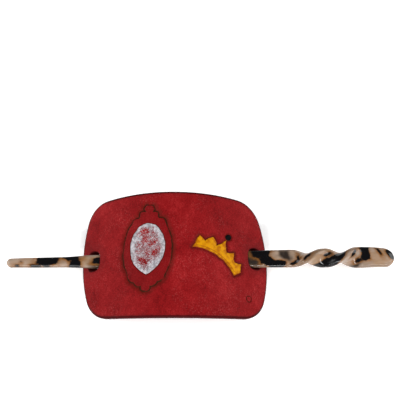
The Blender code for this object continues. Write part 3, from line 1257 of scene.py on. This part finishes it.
station_x, station_swell = stations()
bar_points, twisted_points = stick_rings(station_x, station_swell)
stick_mesh = bpy.data.meshes.new("tortoise_stick")
stick_mesh.from_pydata((twisted_points * MM).tolist(), [], ring_faces(len(station_x), SECTION_POINTS))
print(len(bar_points), "points in the stick")

# %% [markdown]
# ## Tortoise patches
#
# Tortoise acetate is pressed from pale and dark chips, so a dark patch has depth and shows on more than
# one face, and the twist drags it round the handle. Noise alone could scatter patches, but not where this
# stick has them. So we place each patch in the straight bar as a rounded blob, and let noise push its edge
# about. Stored as one value for each point, above zero inside a patch, it follows the twist for free.

# %% Where the dark patches are
# Each patch in the straight bar: its centre along, across and up, its half sizes the same way, and its slant,
# which moves it along by that much for each millimetre across.
PATCHES = (
    (-78.3, -2.1, 1.4, 1.1, 0.5, 1.0, 0.0),
    (-76.2, 0.1, 2.0, 0.4, 0.4, 0.8, 0.0),
    (-63.0, 0.7, 1.0, 5.6, 2.7, 2.8, 0.25),
    (-68.6, -2.4, 1.0, 2.2, 0.8, 1.8, 0.2),
    (-51.2, 1.9, 1.0, 4.3, 1.6, 2.8, -0.3),
    (-49.2, -1.5, 1.0, 2.9, 2.1, 2.8, 0.0),
    (-37.3, -0.1, 1.6, 2.7, 1.4, 1.6, 0.5),
    (-25.0, 0.4, -0.5, 5.5, 2.4, 2.2, -0.6),
    (-11.0, -1.9, 0.6, 4.6, 1.7, 2.4, 0.8),
    (3.0, 1.5, 0.2, 6.0, 2.1, 2.4, -0.7),
    (18.0, -1.4, -0.4, 4.6, 2.3, 2.0, 0.5),
    (29.5, 2.2, 0.6, 3.2, 1.5, 2.4, 0.0),
    (43.0, 2.5, 1.2, 4.8, 2.5, 2.8, 0.0),
    (46.0, -1.3, 1.2, 3.2, 2.4, 2.6, -0.3),
    (51.3, -3.6, 1.0, 4.0, 1.9, 2.6, 0.0),
    (60.1, -2.9, 2.0, 2.3, 0.9, 1.2, 0.2),
    (61.8, -1.5, 2.3, 0.6, 1.3, 0.8, -0.2),
    (66.0, -4.3, 1.6, 1.6, 1.0, 1.2, 0.0),
    (76.5, -1.0, -2.5, 1.9, 1.0, 1.0, 0.4),
    (77.2, 3.9, -1.8, 7.7, 3.1, 2.7, 0.2),
    (89.0, 3.4, 2.2, 1.2, 1.1, 1.2, 0.3),
    (94.8, 3.4, 1.6, 2.2, 2.6, 3.0, 0.0),
    (95.2, -0.1, 1.8, 2.3, 2.0, 2.8, 0.1),
    (92.0, -1.3, 2.4, 2.2, 0.6, 0.9, 0.0),
    (101.8, 2.6, 2.3, 0.8, 1.9, 1.2, -0.4),
    (108.4, 1.1, 1.4, 2.4, 2.7, 2.6, -0.4),
)
# Softer clouds that lie deeper in the acetate; the last one is painted shade where the stick runs into the
# left hole.
CLOUDS_AND_HOLE_SHADE = (
    (55.3, 1.2, 1.6, 2.5, 3.0, 2.2, -0.3),
    (39.6, -0.6, 1.6, 4.4, 3.4, 2.6, 0.0),
    (90.4, -3.6, 2.0, 2.2, 1.8, 2.2, 0.5),
    (-38.4, -2.4, 1.2, 3.4, 1.5, 2.4, 0.0),
)
# 2 would make each blob an egg, and a large number a box.
BLOCKINESS = 3.0
# The bar is thin, so a blob's half height counts this much more than its other half sizes in its depth.
HEIGHT_WEIGHT = 1.5
# The blobs' outlines are pushed about twice: the size of the noise, its reach and where it is read.
DRIFTS = ((3.2, 0.9, 5.0), (1.1, 0.3, 9.0))


def drifted(points, size, reach, start):
    """The points pushed about by smooth noise, so that round blobs get ragged outlines."""
    pushes = [noise.noise_vector((x / size + start, y / size, z / size)) for x, y, z in points]
    return points + reach * np.array(pushes)


def blob_depth(points, blobs):
    """How deep each point is in the nearest blob, about in millimetres; negative outside."""
    deepest = np.full(len(points), -FAR)
    for x, across, up, half_x, half_across, half_up, slant in blobs:
        offset = points - (x, across, up)
        along = offset[:, 0] - slant * offset[:, 1]
        shares = np.abs(np.column_stack((along / half_x, offset[:, 1] / half_across, offset[:, 2] / half_up)))
        reach = (shares ** BLOCKINESS).sum(axis=1) ** (1 / BLOCKINESS)
        deepest = np.maximum(deepest, (1 - reach) * min(half_x, half_across, half_up * HEIGHT_WEIGHT))
    return deepest


ragged_points = bar_points
for drift in DRIFTS:
    ragged_points = drifted(ragged_points, *drift)
# 0 along the middle of the two wide faces and 1 along the two narrow sides.
side_share = np.abs(bar_points[:, 1]) / np.repeat(stick_half_sizes(station_x, 1.0)[0], SECTION_POINTS)
store(stick_mesh, "patch", blob_depth(ragged_points, PATCHES))
store(stick_mesh, "smoke_and_shade", blob_depth(ragged_points, CLOUDS_AND_HOLE_SHADE))
store(stick_mesh, "side", side_share)
store(stick_mesh, "bar", bar_points, "FLOAT_VECTOR")
stick_mesh.shade_smooth()
stick = add_object("tortoise_stick", stick_mesh)
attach(stick, "stick")
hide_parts("acetate_stick")
print(len(PATCHES), "patches and", len(CLOUDS_AND_HOLE_SHADE), "clouds")

# %% [markdown]
# ## The acetate's finish
#
# Polished acetate lets a little light in, so its pale parts look soft and the dark ones look wet. A dark
# chip bleeds amber into the pale one beside it. The surface has the long faint lines and shallow waves
# that sawing and tumbling leave, which break up the highlights. We could model the chips inside a clear
# bar, but colour on the surface with a little light scattered under it looks much the same.

# %% Tortoise material
DULL_BEIGE = dye(141, 120, 102)
PALE_BEIGE = dye(167, 145, 128)
WARM_BEIGE = dye(152, 118, 83)
SMOKE_AND_SHADE_GREY = dye(46, 38, 33)
AMBER_BROWN = dye(134, 86, 36)
SEAM_BROWN = dye(66, 40, 22)
SIDE_SHADE_BROWN = dye(84, 66, 52)
TORTOISE_BLACK = dye(12, 11, 13)
WARMTH = 0.55
SIDE_SHADE = 0.45


def acetate_finish():
    """Pale beige, amber seams, black patches and painted shade along the narrow sides, under a polished skin.
    """
    finish = Finish("tortoise_acetate")
    bar = finish.read("bar", "Vector")
    ripple = 0.5 * finish.cloud(bar, 0.9, 3.0) - 0.25
    depth = finish.read("patch") + ripple
    haze = finish.cloud(bar, 3.0, 3.0, along=0.35)
    pale = finish.blend(haze.ramp(0.35, 0.65), DULL_BEIGE, PALE_BEIGE)
    warm = finish.cloud(bar, 6.0, along=0.5)
    pale = finish.blend(warm.ramp(0.42, 0.66) * WARMTH, pale, WARM_BEIGE)
    # Grey smoke deeper in the acetate, and painted shade on the stick at the left hole.
    pale = finish.blend(finish.read("smoke_and_shade").ramp(-1.5, 1.3), pale, SMOKE_AND_SHADE_GREY)
    bleed = finish.cloud(bar, 2.4, along=0.6).ramp(0.36, 0.62)
    amber = depth.ramp(-1.7, -0.1) * (0.36 + 0.6 * bleed)
    tinted = finish.blend(amber, pale, AMBER_BROWN)
    seam = depth.ramp(-0.55, 0.05) * (0.35 + 0.6 * bleed)
    tinted = finish.blend(seam, tinted, SEAM_BROWN)
    # Painted shade: the narrow rounded sides of the bar are darkened towards brown.
    side = finish.read("side").ramp(0.72, 1.0)
    tinted = finish.blend(side * SIDE_SHADE, tinted, SIDE_SHADE_BROWN)
    colour = finish.blend(depth.ramp(-0.16, 0.16), tinted, TORTOISE_BLACK)
    scratch = finish.cloud(bar, 0.35, along=0.06)
    wave = finish.cloud(bar, 2.6, 1.0, along=0.6)
    smudge = finish.cloud(bar, 5.0, 3.0)
    return finish.surface({
        "Base Color": colour,
        "Roughness": 0.05 + 0.1 * smudge + 0.05 * scratch,
        "Normal": finish.raise_surface(0.005 * scratch + 0.03 * wave),
        "Subsurface Weight": 0.12,
        "Subsurface Radius": (1.0, 0.6, 0.35),
        "Subsurface Scale": 1.5 * MM,
        "IOR": 1.48,
        "Specular IOR Level": 0.3,
    })


stick_mesh.materials.append(acetate_finish())
print("acetate finish has", len(stick_mesh.materials[0].node_tree.nodes), "nodes")
